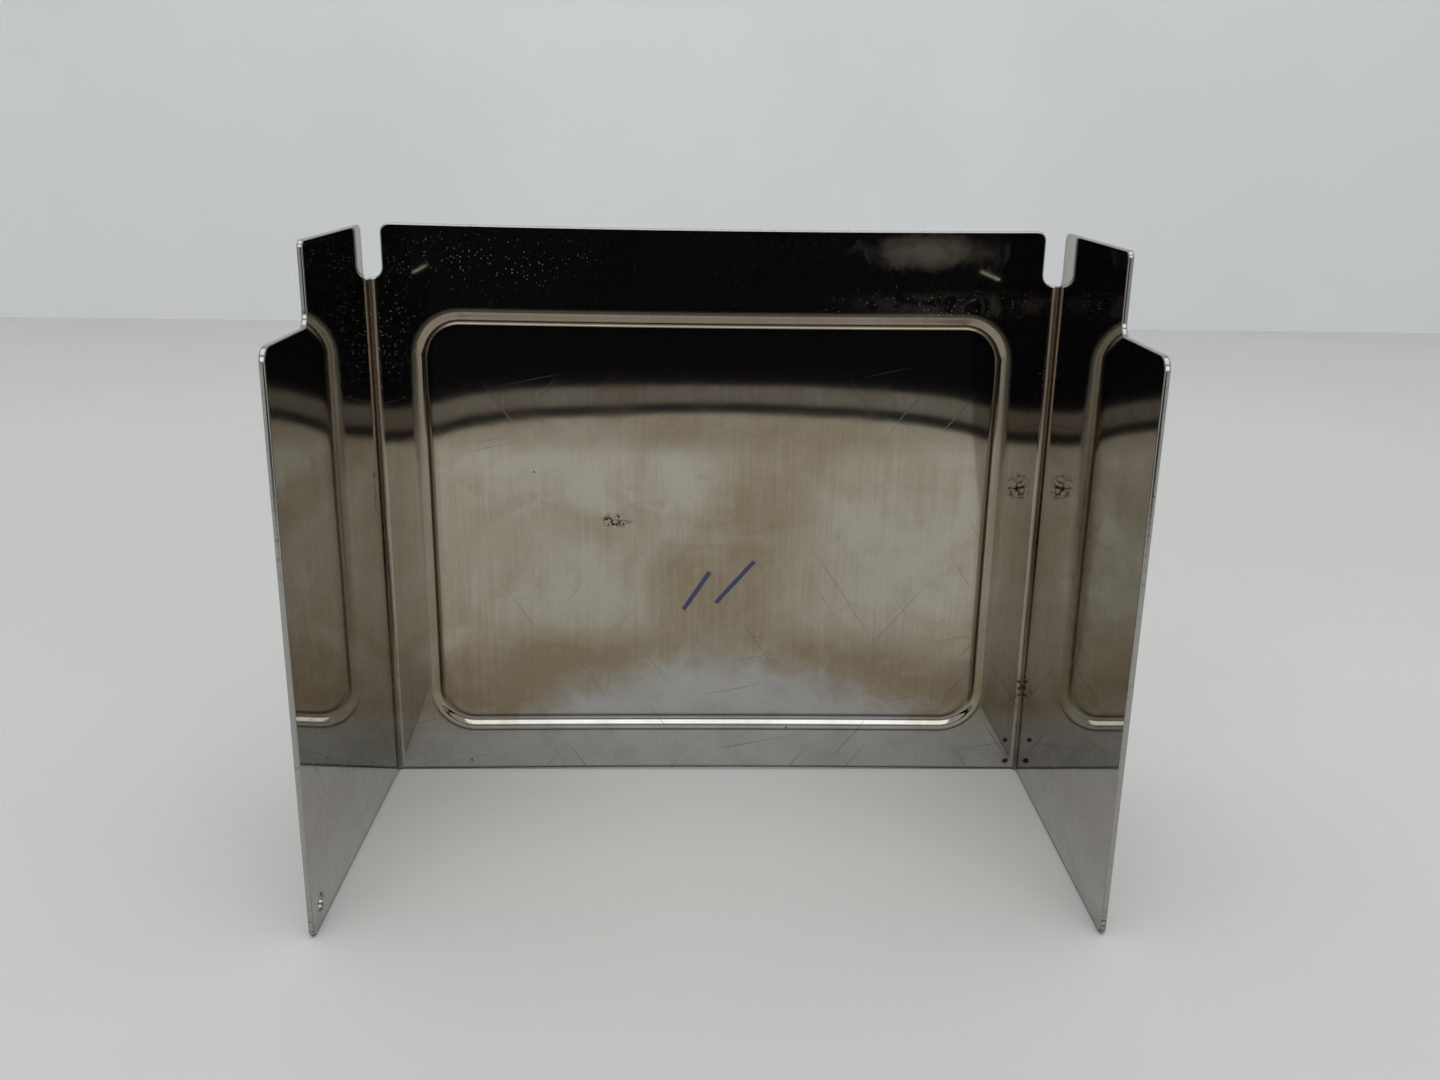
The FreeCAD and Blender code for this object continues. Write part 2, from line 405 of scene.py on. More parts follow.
def grid_points():
    """Plain grid over the sheet, kept off the pressed step and the bends."""
    reach = from_depth(SIDE_DEPTH, 1) + 3
    columns = np.arange(-reach, reach, GRID_SPACING)
    rows = np.arange(GRID_SPACING / 2, HEIGHT, GRID_SPACING)
    points = np.array([(s, z) for s in columns for z in rows])
    keep = np.ones(len(points), bool)
    depth = depth_inside(points, *FIELD)
    keep &= (depth < RING_DISTANCES[0] - 1) | (depth > RING_DISTANCES[-1] + 1)
    for sign in (-1, 1):
        off = np.abs(points[:, 0] - sign * (bend_start(sign) + bend_end(sign)) / 2)
        keep &= off > BEND_CLEARANCE
    return points[keep]


def drop_close(points, gap):
    """Thin out points that nearly coincide."""
    seen, kept = set(), []
    for point in points:
        key = (round(point[0] / gap), round(point[1] / gap))
        if key not in seen:
            seen.add(key)
            kept.append(point)
    return np.array(kept)


def triangulate(loops, inner):
    """Triangles over the area between the outer loop and the holes."""
    points = np.concatenate(loops + [inner])
    edges = []
    first = 0
    for loop in loops:
        count = len(loop)
        edges += [(first + i, first + (i + 1) % count) for i in range(count)]
        first += count
    result = delaunay_2d_cdt([Vector(p) for p in points], edges, [], 0, 1e-6)
    vertices = np.array([tuple(v) for v in result[0]])
    triangles = np.array([tuple(f) for f in result[2]])
    centres = vertices[triangles].mean(axis=1)
    keep = inside_polygon(centres, loops[0])
    for hole in loops[1:]:
        keep &= ~inside_polygon(centres, hole)
    source = {}
    for index, owners in enumerate(result[3]):
        for owner in owners:
            source[owner] = index
    return vertices, triangles[keep], source


# ---------------------------------------------------------------- mesh
def edge_profile():
    """Inset and outward offset of each ring of the rounded cut edge, from inner to outer face."""
    rings = []
    for step in range(EDGE_ARC_STEPS + 1):
        angle = math.pi / 2 * step / EDGE_ARC_STEPS
        rings.append((EDGE_RADIUS * (1 - math.sin(angle)), EDGE_RADIUS * (1 - math.cos(angle))))
    return rings + [(inset, THICKNESS - offset) for inset, offset in reversed(rings)]


def build_sheet():
    """Vertices, faces, material slots, normals and blank coordinates of the whole sheet."""
    loops = [rounded_loop(blank_corners()), hole_loop()]
    face_loops = [spots + normals * EDGE_RADIUS for spots, normals in loops]
    inner = drop_close(np.concatenate([ring_points(), bend_points(), grid_points()]), CLOSEST_INSIDE)
    inner = inner[inside_polygon(inner, face_loops[0]) & ~inside_polygon(inner, face_loops[1])]
    for loop in face_loops:
        inner = inner[clearance(inner, loop) > CLOSEST_TO_EDGE]
    flat, triangles, source = triangulate(face_loops, inner)
    edges_a = flat[triangles[:, 1]] - flat[triangles[:, 0]]
    edges_b = flat[triangles[:, 2]] - flat[triangles[:, 0]]
    clockwise = edges_a[:, 0] * edges_b[:, 1] - edges_a[:, 1] * edges_b[:, 0] < 0
    triangles[clockwise] = triangles[clockwise][:, ::-1]

    count = len(flat)
    positions = [surface(flat, 0.0), surface(flat, THICKNESS)]
    normals = [into_bay(flat, 0.0), -into_bay(flat, THICKNESS)]
    blanks = [flat, flat]
    faces = [tuple(t) for t in triangles] + [tuple(t[::-1] + count) for t in triangles]
    slots = [INNER_SLOT] * len(triangles) + [OUTER_SLOT] * len(triangles)
    total = 2 * count
    first = 0
    profile = edge_profile()
    for spots, inward in loops:
        length = len(spots)
        rings = [surface(spots + inward * inset, offset) for inset, offset in profile]
        ring_ids = [[source[first + i] for i in range(length)]]
        for (inset, _), ring in zip(profile[1:-1], rings[1:-1]):
            positions.append(ring)
            blanks.append(spots + inward * inset)
            ring_ids.append(list(range(total, total + length)))
            total += length
        ring_ids.append([index + count for index in ring_ids[0]])
        normals += list(edge_normals(np.array(rings), spots, inward))
        for lower, upper in zip(ring_ids[:-1], ring_ids[1:]):
            for i in range(length):
                j = (i + 1) % length
                faces.append((lower[j], lower[i], upper[i], upper[j]))
                slots.append(EDGE_SLOT)
        first += length
    blank = np.concatenate(blanks)
    blank = np.column_stack([blank, depth_inside(blank, *FIELD)])
    return np.concatenate(positions) * MM, faces, slots, np.concatenate(normals), blank


def into_bay(flat, offset):
    """Normals of a face layer, turned into the open side of the fold."""
    normals = face_normals(flat, offset)
    _, outward = base_point(flat[:, 0])
    facing = np.einsum("ij,ij->i", normals[:, :2], outward)
    return np.where(facing[:, None] > 0, -normals, normals)


def edge_normals(rings, spots, inward):
    """Normals of a cut edge's inner rings, turned away from the metal."""
    around = np.roll(rings, -1, axis=1) - np.roll(rings, 1, axis=1)
    normals = np.cross(around[1:-1], rings[2:] - rings[:-2])
    normals /= np.linalg.norm(normals, axis=2)[:, :, None]
    away = surface(spots, THICKNESS / 2) - surface(spots + inward * EDGE_RADIUS, THICKNESS / 2)
    facing = np.einsum("rij,ij->ri", normals, away)
    return np.where(facing[:, :, None] < 0, -normals, normals)


def sheet_object(materials):
    """The cover as one mesh, with its blank coordinates stored for the materials."""
    positions, faces, slots, normals, blank = build_sheet()
    mesh = bpy.data.meshes.new("chromed_cover")
    mesh.from_pydata(positions.tolist(), [], faces)
    for material in materials:
        mesh.materials.append(material)
    mesh.polygons.foreach_set("material_index", slots)
    mesh.polygons.foreach_set("use_smooth", [True] * len(faces))
    attribute = mesh.attributes.new("blank", "FLOAT_VECTOR", "POINT")
    attribute.data.foreach_set("vector", blank.ravel())
    mesh.update()
    mesh.normals_split_custom_set_from_vertices(normals.tolist())
    cover = bpy.data.objects.new("chromed_cover", mesh)
    bpy.context.scene.collection.objects.link(cover)
    return cover


# ---------------------------------------------------------------- material building blocks
class Shader:
    """Small helper that adds nodes to one material and links them."""

    def __init__(self, name):
        self.material = bpy.data.materials.new(name)
        self.material.use_nodes = True
        self.tree = self.material.node_tree
        self.tree.nodes.clear()
        self.output = self.tree.nodes.new("ShaderNodeOutputMaterial")

    def put(self, socket, value):
        if isinstance(value, bpy.types.NodeSocket):
            self.tree.links.new(value, socket)
        elif value is not None:
            socket.default_value = value

    def math(self, operation, a, b=None, clamp=False):
        node = self.tree.nodes.new("ShaderNodeMath")
        node.operation = operation
        node.use_clamp = clamp
        for socket, value in zip(node.inputs, (a, b)):
            self.put(socket, value)
        return node.outputs[0]

    def total(self, *values):
        result = values[0]
        for value in values[1:]:
            result = self.math("ADD", result, value)
        return result

    def product(self, *values):
        result = values[0]
        for value in values[1:]:
            result = self.math("MULTIPLY", result, value)
        return result

    def either(self, *values):
        result = values[0]
        for value in values[1:]:
            result = self.math("MAXIMUM", result, value)
        return result

    def blank(self):
        """Coordinates on the flat blank in millimetres: along, up, and in from the field's outline."""
        node = self.tree.nodes.new("ShaderNodeAttribute")
        node.attribute_name = "blank"
        split = self.tree.nodes.new("ShaderNodeSeparateXYZ")
        self.tree.links.new(node.outputs["Vector"], split.inputs[0])
        return node.outputs["Vector"], split.outputs[0], split.outputs[1], split.outputs[2]

    def place(self):
        """Object coordinates in metres."""
        return self.tree.nodes.new("ShaderNodeTexCoord").outputs["Object"]

    def turned(self, vector, degrees):
        node = self.tree.nodes.new("ShaderNodeVectorRotate")
        node.rotation_type = "Z_AXIS"
        self.put(node.inputs["Vector"], vector)
        node.inputs["Angle"].default_value = math.radians(degrees)
        return node.outputs[0]

    def mapped(self, vector, scale, shift=(0, 0, 0)):
        node = self.tree.nodes.new("ShaderNodeMapping")
        self.put(node.inputs["Vector"], vector)
        node.inputs["Location"].default_value = shift
        node.inputs["Scale"].default_value = scale
        return node.outputs[0]

    def noise(self, vector, scale, detail=3.0, rough=0.55, warp=0.0, shift=(0, 0, 0)):
        """Noise whose scale is in features per unit along each axis."""
        node = self.tree.nodes.new("ShaderNodeTexNoise")
        self.put(node.inputs["Vector"], self.mapped(vector, scale, shift))
        node.inputs["Scale"].default_value = 1.0
        node.inputs["Detail"].default_value = detail
        node.inputs["Roughness"].default_value = rough
        node.inputs["Distortion"].default_value = warp
        return node.outputs[0]

    def cells(self, vector, scale):
        """Distance to scattered points and a random number for each of them."""
        node = self.tree.nodes.new("ShaderNodeTexVoronoi")
        self.put(node.inputs["Vector"], self.mapped(vector, scale))
        node.inputs["Scale"].default_value = 1.0
        split = self.tree.nodes.new("ShaderNodeSeparateColor")
        self.tree.links.new(node.outputs["Color"], split.inputs[0])
        return node.outputs["Distance"], split.outputs[0]

    def ramp(self, value, low, high, start=0.0, end=1.0):
        node = self.tree.nodes.new("ShaderNodeMapRange")
        node.interpolation_type = "SMOOTHSTEP"
        self.put(node.inputs["Value"], value)
        self.put(node.inputs["From Min"], low)
        self.put(node.inputs["From Max"], high)
        self.put(node.inputs["To Min"], start)
        self.put(node.inputs["To Max"], end)
        return node.outputs[0]

    def stripe(self, value, middle, inner, outer):
        """1 within inner of the middle, fading to 0 at outer."""
        off = self.math("ABSOLUTE", self.math("SUBTRACT", value, middle))
        return self.ramp(off, inner, outer, 1.0, 0.0)

    def spot(self, along, up, middle, size, soft=0.5, wobble=None):
        """Soft ellipse on the blank; size holds its two half lengths."""
        a = self.math("DIVIDE", self.math("SUBTRACT", along, middle[0]), size[0])
        b = self.math("DIVIDE", self.math("SUBTRACT", up, middle[1]), size[1])
        reach = self.math("SQRT", self.math("ADD", self.product(a, a), self.product(b, b)))
        if wobble is not None:
            reach = self.math("ADD", reach, wobble)
        return self.ramp(reach, 1.0 - soft, 1.0 + soft, 1.0, 0.0)

    def mix(self, share, a, b):
        node = self.tree.nodes.new("ShaderNodeMix")
        node.data_type = "RGBA"
        factor, first, second = [s for s in node.inputs if s.enabled][:3]
        self.put(factor, share)
        self.put(first, a)
        self.put(second, b)
        return [s for s in node.outputs if s.enabled][0]

    def bump(self, height, distance, strength=1.0, normal=None):
        node = self.tree.nodes.new("ShaderNodeBump")
        node.inputs["Strength"].default_value = strength
        node.inputs["Distance"].default_value = distance
        self.put(node.inputs["Height"], height)
        if normal is not None:
            self.put(node.inputs["Normal"], normal)
        return node.outputs[0]

    def spots(self, along, up, marks, wobble=None):
        """Union of soft ellipses, each given as its middle, half lengths and softness."""
        return self.either(*[self.spot(along, up, *mark, wobble) for mark in marks])

    def dots(self, vector, density, inner, outer, share):
        """Small round dots in a given share of randomly scattered places."""
        off, pick = self.cells(vector, (density, density, 0))
        chosen = self.math("GREATER_THAN", pick, 1 - share)
        return self.product(self.ramp(off, inner, outer, 1.0, 0.0), chosen)

    def finish(self, **sockets):
        shader = self.tree.nodes.new("ShaderNodeBsdfPrincipled")
        for name, value in sockets.items():
            self.put(shader.inputs[name.replace("_", " ")], value)
        self.tree.links.new(shader.outputs[0], self.output.inputs["Surface"])
        return self.material


# ---------------------------------------------------------------- inner face
CLEAN_CHROME = (0.475, 0.48, 0.47, 1)
DULL_CHROME = (0.39, 0.39, 0.375, 1)
PALE_FILM = (0.46, 0.435, 0.365, 1)
BROWN_FILM = (0.305, 0.245, 0.165, 1)
SCRATCH = (0.11, 0.10, 0.09, 1)
STAIN = (0.21, 0.155, 0.10, 1)
# Near-black brown for rust spots, pits and dark lines, and for the painted shade along the foot, in the
# pressed step's valley and on the cut edge's foot.
DARK_MARKS_AND_PAINTED_SHADE = (0.035, 0.022, 0.013, 1)
RUST = (0.16, 0.05, 0.03, 1)
DUST = (0.30, 0.25, 0.20, 1)
WATER_MARK = (0.36, 0.23, 0.12, 1)
INK = (0.02, 0.035, 0.12, 1)

# The film's lower edge is an arch: its middle, its crown height, its fall to the sides, its lowest height.
FILM_MIDDLE = 2.5
FILM_ARCH = 35.0
FILM_FALL = 0.0052
FILM_LOWEST = 15.0
FOLD_MIDDLE = 92.1
FRONT_EDGE_ALONG = (168.0, 176.0)

# Marks on the blank: middle and half lengths in millimetres, then softness.
FOLD_FILM = ((92.0, 22.0), (13.0, 14.0), 0.7)
WIPED = (
    ((-39.0, 94.0), (28.0, 11.0), 0.6), ((-11.0, 91.0), (16.0, 10.0), 0.4),
    ((51.0, 68.0), (24.0, 24.0), 0.8), ((-37.0, 55.0), (20.0, 12.0), 0.8))
BROWNED = (
    ((14.0, 79.0), (16.0, 27.0), 0.8), ((-50.0, 33.0), (26.0, 11.0), 0.8), ((50.0, 31.0), (28.0, 11.0), 0.8),
    ((-13.0, 105.0), (8.0, 7.0), 0.8), ((0.0, 58.0), (20.0, 10.0), 0.8))
SIDE_STREAK = ((138.0, 92.0), (7.0, 30.0), 0.8)
RUST_CLUSTERS = (
    ((86.0, 88.4), (2.6, 3.4), 0.5), ((-27.8, 77.4), (3.8, 1.8), 0.5),
    ((-94.0, 27.0), (0.9, 8.0), 0.4), ((91.5, 27.0), (1.4, 4.0), 0.4))
RUST_NICKS = (((-100.0, 88.5), (1.2, 6.5), 0.3), ((101.5, 29.5), (0.8, 3.0), 0.3))
DARK_DOTS = (((88.8, 9.7), (0.7, 0.7), 0.4), ((89.3, 2.8), (0.9, 0.8), 0.4))
RUSTY_AREAS = (
    ((-92.0, 121.0), (7.0, 10.0), 0.8), ((-92.0, 133.0), (8.0, 4.0), 0.8), ((92.0, 120.0), (4.0, 5.0), 0.7))
DUSTY_AREAS = (
    ((-66.0, 150.0), (26.0, 7.0), 0.6), ((-88.0, 133.0), (9.0, 12.0), 0.6),
    ((62.0, 140.0), (30.0, 4.0), 0.5), ((97.0, 140.0), (7.0, 10.0), 0.6))
WATER_SMEAR = ((57.0, 153.5), (12.0, 3.2), 0.8)
RESIDUE = ((66.0, 139.5), (26.0, 3.0), 0.7)
INK_STROKES = (((-8.4, 50.3), (-0.6, 62.4)), ((0.9, 52.5), (12.2, 65.7)))


class InnerFace:
    """Old chrome with a brown film over its middle, dark lines along the folds, and painted shade in the
    pressed step's valley and along the foot.
    """

    def __init__(self):
        m = self.m = Shader("old_chrome")
        self.vector, self.along, self.up, self.depth = m.blank()
        self.patches = m.noise(self.vector, (0.034, 0.034, 0), detail=4, rough=0.6, warp=1.2)
        self.blotches = m.noise(self.vector, (0.11, 0.11, 0), detail=5, rough=0.68, warp=0.8)
        self.streaks = m.noise(self.vector, (0.85, 0.028, 0), detail=4, rough=0.65, warp=0.15)
        self.swirls = m.noise(self.vector, (0.5, 0.5, 0), detail=2, rough=0.5, warp=6.0)
        self.grain = m.noise(self.vector, (3.1, 3.1, 0), detail=3, rough=0.7)
        self.jitter = m.math("SUBTRACT", self.blotches, 0.5)
        self.wobble = m.product(self.jitter, 2.6)
        self.away = m.math("ABSOLUTE", self.along)
        self.fold_off = m.math("ABSOLUTE", m.math("SUBTRACT", self.away, FOLD_MIDDLE))

    def marks(self, marks, wobble=None):
        return self.m.spots(self.along, self.up, marks, wobble)

    def filmed_chrome(self):
        """Film's share, and the metal's colour with the film on it."""
        m = self.m
        off_middle = m.math("SUBTRACT", self.along, FILM_MIDDLE)
        arch = m.math("SUBTRACT", FILM_ARCH, m.product(off_middle, off_middle, FILM_FALL))
        line = m.math("ADD", m.math("MAXIMUM", arch, FILM_LOWEST), m.product(self.jitter, 15.0))
        above = m.math("SUBTRACT", self.up, line)
        on_sides = m.ramp(self.away, 93.0, 101.0)
        fold_film = m.spot(self.away, self.up, *FOLD_FILM, self.wobble)
        film = m.product(
            m.math("MAXIMUM", m.ramp(above, -11.0, 8.0), m.product(fold_film, 0.8)),
            m.math("SUBTRACT", 1.0, m.product(on_sides, 0.6)))
        textures = ((self.patches, 1.3), (self.streaks, 0.8), (self.swirls, 0.6), (self.grain, 0.25))
        tone = m.total(
            *[m.product(m.math("SUBTRACT", texture, 0.5), weight) for texture, weight in textures],
            m.product(m.stripe(above, 7.0, 0.0, 14.0), 0.3),
            m.product(self.marks(BROWNED, self.wobble), 0.48),
            0.44)
        tone = m.math("SUBTRACT", tone, m.product(self.marks(WIPED, self.wobble), 0.4), clamp=True)
        smudge = m.noise(self.vector, (0.07, 0.09, 0), detail=5, rough=0.7, shift=(9, 4, 0))
        bare = m.mix(m.ramp(smudge, 0.35, 0.75), CLEAN_CHROME, DULL_CHROME)
        return film, m.mix(film, bare, m.mix(tone, PALE_FILM, BROWN_FILM))

    def scratches(self):
        """Fine scratches, stronger low down."""
        m = self.m
        lines = scratch_lines(m, self.vector, (38.0, -34.0, 78.0))
        return m.product(lines, m.ramp(self.up, 40.0, 80.0, 0.42, 0.08))

    def stain(self):
        """Brown stain beside the folds, on the pressed step, on the right panel and in a band across."""
        m = self.m
        return m.product(m.ramp(self.up, 14.0, 40.0), m.either(
            m.ramp(self.fold_off, 0.0, 14.0, 0.32, 0.0),
            m.product(m.stripe(self.depth, 2.0, 1.0, 4.0), 0.4),
            m.spot(self.along, self.up, *SIDE_STREAK, self.wobble),
            m.product(m.stripe(self.up, 103.5, 1.0, 9.0), 0.4)))

    def dark_lines_and_painted_shade(self):
        """Dark streaky lines along the folds; painted shade in the pressed step's valley and along the foot;
        two dark lines along the lower run of the pressed step; speckled darkening on the lower front tips.
        """
        m, up, depth = self.m, self.up, self.depth
        folds = m.product(
            m.ramp(self.fold_off, 0.1, 0.9, 1.0, 0.0), m.ramp(self.streaks, 0.35, 0.6, 0.25, 0.8))
        # painted shade: darker along the pressed step's valley, beside and above the field
        valley = m.product(m.stripe(depth, 2.55, 0.2, 0.7), m.ramp(up, 18.0, 30.0, 0.0, 0.8))
        # painted contact shade along the foot of the sheet
        foot = m.ramp(up, 0.4, 1.1, 0.75, 0.0)
        lower_lines = m.product(
            m.either(m.stripe(depth, -0.45, 0.1, 0.5), m.stripe(depth, 3.9, 0.2, 0.7)),
            m.ramp(up, 15.0, 26.0, 0.75, 0.0))
        tips = m.product(
            m.ramp(up, 2.0, 8.0, 1.0, 0.0),
            m.ramp(self.away, *FRONT_EDGE_ALONG),
            m.ramp(self.grain, 0.5, 0.6))
        return m.either(folds, valley, foot, lower_lines, tips)

    def dark_spots(self):
        """Rust marks, dark dots and scattered pits."""
        m = self.m
        spotty = m.ramp(m.noise(self.vector, (0.62, 0.62, 0), detail=3, rough=0.75), 0.5, 0.56)
        rust = m.product(spotty, m.either(self.marks(RUST_CLUSTERS, self.jitter), self.marks(RUST_NICKS)))
        pits = m.dots(self.vector, 0.085, 0.022, 0.034, 0.28)
        return m.either(rust, self.marks(DARK_DOTS), pits)

    def reds(self):
        """Reddish flecks near the folds, and a rosy tint along the folds."""
        m = self.m
        flecks = m.dots(self.vector, 1.2, 0.1, 0.25, 0.45)
        rusty = m.product(flecks, self.marks(RUSTY_AREAS, self.wobble), 0.75)
        rosy = m.product(m.ramp(self.fold_off, 0.0, 1.6, 1.0, 0.0), m.ramp(self.up, 70.0, 115.0), 0.22)
        return m.math("MAXIMUM", rusty, rosy)

    def dust(self):
        """Dried specks near the top, and a dull residue above the pressed field."""
        m = self.m
        speckles = m.dots(self.vector, 1.25, 0.1, 0.25, 0.5)
        areas = m.either(self.marks(DUSTY_AREAS, self.wobble), m.ramp(self.up, 118.0, 159.0, 0.0, 0.12))
        residue = m.spot(self.along, self.up, *RESIDUE, self.wobble)
        return m.either(
            m.product(areas, speckles, 0.45), m.product(residue, m.ramp(self.blotches, 0.42, 0.6), 0.07))

    def material(self):
        m = self.m
        film, color = self.filmed_chrome()
        scratches, spots, reds, dust = self.scratches(), self.dark_spots(), self.reds(), self.dust()
        # Rust spots, pits and dark lines, together with the painted shade in the valley and along the foot.
        marks_and_painted_shade = m.either(self.dark_lines_and_painted_shade(), spots)
        smear = m.product(m.spot(self.along, self.up, *WATER_SMEAR, self.wobble), 0.20)
        ink = ink_mask(m, self.along, self.up, m.product(self.jitter, 0.5))

        layers = ((scratches, SCRATCH), (self.stain(), STAIN), (marks_and_painted_shade, DARK_MARKS_AND_PAINTED_SHADE), (reds, RUST), (dust, DUST),
                  (smear, WATER_MARK), (ink, INK))
        for share, tint in layers:
            color = m.mix(share, color, tint)
        metallic = m.math("SUBTRACT", 1.0, m.either(dust, smear, reds, m.product(ink, 0.7)), clamp=True)
        shoulder = m.product(m.stripe(self.depth, 0.2, 0.5, 1.9), m.ramp(self.up, 16.0, 24.0))
        roughness = m.total(
            m.product(film, 0.014),
            m.product(m.ramp(self.patches, 0.3, 0.7), 0.012),
            m.product(shoulder, 0.2),
            m.product(m.either(m.product(marks_and_painted_shade, 0.6), dust, reds, ink), 0.4),
            0.03)
        waves = m.noise(self.vector, (0.021, 0.013, 0), detail=1)
        ripples = m.noise(self.vector, (0.09, 0.05, 0), detail=1, shift=(5, 5, 0))
        normal = m.bump(m.math("ADD", waves, m.product(ripples, 0.1)), 0.00010)
        normal = m.bump(m.math("SUBTRACT", spots, scratches), 0.00003, 0.6, normal)
        return m.finish(Base_Color=color, Metallic=metallic, Roughness=roughness, Normal=normal)


def scratch_lines(m, vector, directions):
    """Thin, long, nearly straight scratches, each set turned from upright by one angle in degrees."""
    layers = []
    for i, direction in enumerate(directions):
        shift = (13 * i, 7 * i, 0)
        lines = m.noise(m.turned(vector, direction), (1.0, 0.02, 0), detail=1, warp=0.25, shift=shift)
        layers.append(m.ramp(lines, 0.70, 0.77))
    return m.either(*layers)


def ink_mask(m, along, up, jitter):
    """Two plain pen strokes on the back panel."""
    strokes = []
    for start, end in INK_STROKES:
        run, rise = end[0] - start[0], end[1] - start[1]
        length = math.hypot(run, rise)
        a = m.math("SUBTRACT", along, (start[0] + end[0]) / 2)
        b = m.math("SUBTRACT", up, (start[1] + end[1]) / 2)
        lengthwise = m.math("ADD", m.product(a, run / length), m.product(b, rise / length))
        sideways = m.math("SUBTRACT", m.product(a, rise / length), m.product(b, run / length))
        strokes.append(m.product(
            m.stripe(m.math("ADD", sideways, jitter), 0.0, 0.5, 0.75),
            m.stripe(lengthwise, 0.0, length / 2 - 0.6, length / 2)))
    return m.product(m.either(*strokes), 0.92)


# ---------------------------------------------------------------- outer face and cut edge
OUTER_CLEAN = (0.60, 0.595, 0.575, 1)
OUTER_SMUDGED = (0.47, 0.445, 0.40, 1)
OUTER_MARK = (0.16, 0.13, 0.10, 1)
EDGE_BRIGHT = (0.37, 0.365, 0.35, 1)
EDGE_DARK = (0.10, 0.085, 0.07, 1)


def outer_chrome():
    """Outer face: cleaner chrome with light smudges, fine scratches and a few pits."""
    m = Shader("outer_chrome")
    vector, *_ = m.blank()
    clouds = m.noise(vector, (0.03, 0.04, 0), detail=5, rough=0.65, warp=0.8)
    streaks = m.noise(vector, (0.5, 0.03, 0), detail=3, rough=0.6)
    scratches = m.product(scratch_lines(m, vector, (12.0, 64.0, -28.0)), 0.2)
    pits = m.dots(vector, 0.06, 0.016, 0.026, 0.25)
    tone = m.total(m.product(m.ramp(clouds, 0.35, 0.7), 0.5), m.product(m.ramp(streaks, 0.4, 0.7), 0.25))
    color = m.mix(tone, OUTER_CLEAN, OUTER_SMUDGED)
    color = m.mix(m.either(scratches, pits), color, OUTER_MARK)
    roughness = m.total(m.product(m.ramp(clouds, 0.3, 0.75), 0.05), m.product(scratches, 0.2), 0.03)
    waves = m.noise(vector, (0.022, 0.015, 0), detail=1)
    return m.finish(Base_Color=color, Metallic=m.math("SUBTRACT", 1.0, m.product(pits, 0.8)),
                    Roughness=roughness, Normal=m.bump(waves, 0.00012))


def edge_chrome():
    """Cut edge: plated over the shear marks, so it is bright and finely uneven; painted shade along its foot
    and speckled darkening a few millimetres above it.
    """
    m = Shader("cut_edge")
    vector, _, up, _ = m.blank()
    coarse = m.noise(vector, (0.7, 0.9, 0), detail=4, rough=0.7)
    grain = m.noise(vector, (2.4, 2.4, 0), detail=3, rough=0.7)
    dark = m.ramp(m.math("ADD", coarse, m.product(grain, 0.4)), 0.76, 0.95)
    color = m.mix(m.product(dark, 0.7), EDGE_BRIGHT, EDGE_DARK)
    low_dark_speckle = m.product(m.ramp(up, 2.0, 9.0, 1.0, 0.0), m.ramp(coarse, 0.48, 0.58))
    # Painted contact shade along the edge's foot, and darker speckles on its lowest few millimetres.
    color = m.mix(m.either(m.ramp(up, 0.3, 1.0, 0.7, 0.0), low_dark_speckle), color, DARK_MARKS_AND_PAINTED_SHADE)
    roughness = m.ramp(coarse, 0.3, 0.7, 0.07, 0.16)
    shear = m.product(m.math("ADD", coarse, m.product(grain, 0.35)), m.ramp(up, 40.0, 110.0, 1.0, 0.4))
    return m.finish(Base_Color=color, Metallic=1.0, Roughness=roughness, Normal=m.bump(shear, 0.00005))


# ---------------------------------------------------------------- stage
BENCH_FRONT = -382.0
BENCH_BACK = 980.0
ROOM_REACH = 3000.0
FLAG_BACK = -1600.0
FLAG_NEAR = 225.0
FLAG_FAR = 540.0
FRONT_FLAG_REACH = 560.0

FLOOR_PAPER = (0.62, 0.615, 0.60)
BACKDROP_PAPER = (0.74, 0.755, 0.76)
FLAG_BLACK = (0.75, 0.8, 1.2)
LEDGE_GREY = (1.0, 0.98, 0.94)
SKY = (0.95, 0.98, 1.0, 1)
BOX_FACES = ((0, 1, 3, 2), (4, 6, 7, 5), (0, 4, 5, 1), (2, 3, 7, 6), (0, 2, 6, 4), (1, 5, 7, 3))


def stage_mesh(name, corners, faces, material):
    """Stage object from corners in millimetres."""
    mesh = bpy.data.meshes.new(name)
    mesh.from_pydata([tuple(c * MM for c in corner) for corner in corners], [], faces)
    mesh.materials.append(material)
    thing = bpy.data.objects.new(name, mesh)
    bpy.context.scene.collection.objects.link(thing)
    return thing


def stage_box(name, low, high, material):
    """Axis-aligned floor, backdrop or card between two corners."""
    (x0, y0, z0), (x1, y1, z1) = low, high
    corners = [(x, y, z) for x in (x0, x1) for y in (y0, y1) for z in (z0, z1)]
    return stage_mesh(name, corners, BOX_FACES, material)


def stage_sheet(name, outline, height, material):
    """Flat card lying at one height."""
    corners = [(x, y, height) for x, y in outline]
    return stage_mesh(name, corners, [tuple(range(len(corners)))], material)


def reflected_only(thing):
    """Keep a studio flag or card out of the picture except in reflections."""
    thing.visible_camera = False
    thing.visible_diffuse = False
    thing.visible_shadow = False


def paper(name, color):
    """Matt paper with faint cloudy variation."""
    m = Shader(name)
    tone = m.noise(m.place(), (3.0, 3.0, 3.0), detail=4, rough=0.6)
    shade = m.mix(m.ramp(tone, 0.3, 0.7), (*color, 1), (*[c * 0.95 for c in color], 1))
    return m.finish(Base_Color=shade, Roughness=0.85)


def glow(name, color, strength):
    """Surface that only gives off light and reflects none."""
    m = Shader(name)
    emission = m.tree.nodes.new("ShaderNodeEmission")
    emission.inputs["Color"].default_value = (*color, 1)
    emission.inputs["Strength"].default_value = strength
    m.tree.links.new(emission.outputs[0], m.output.inputs["Surface"])
    return m.material


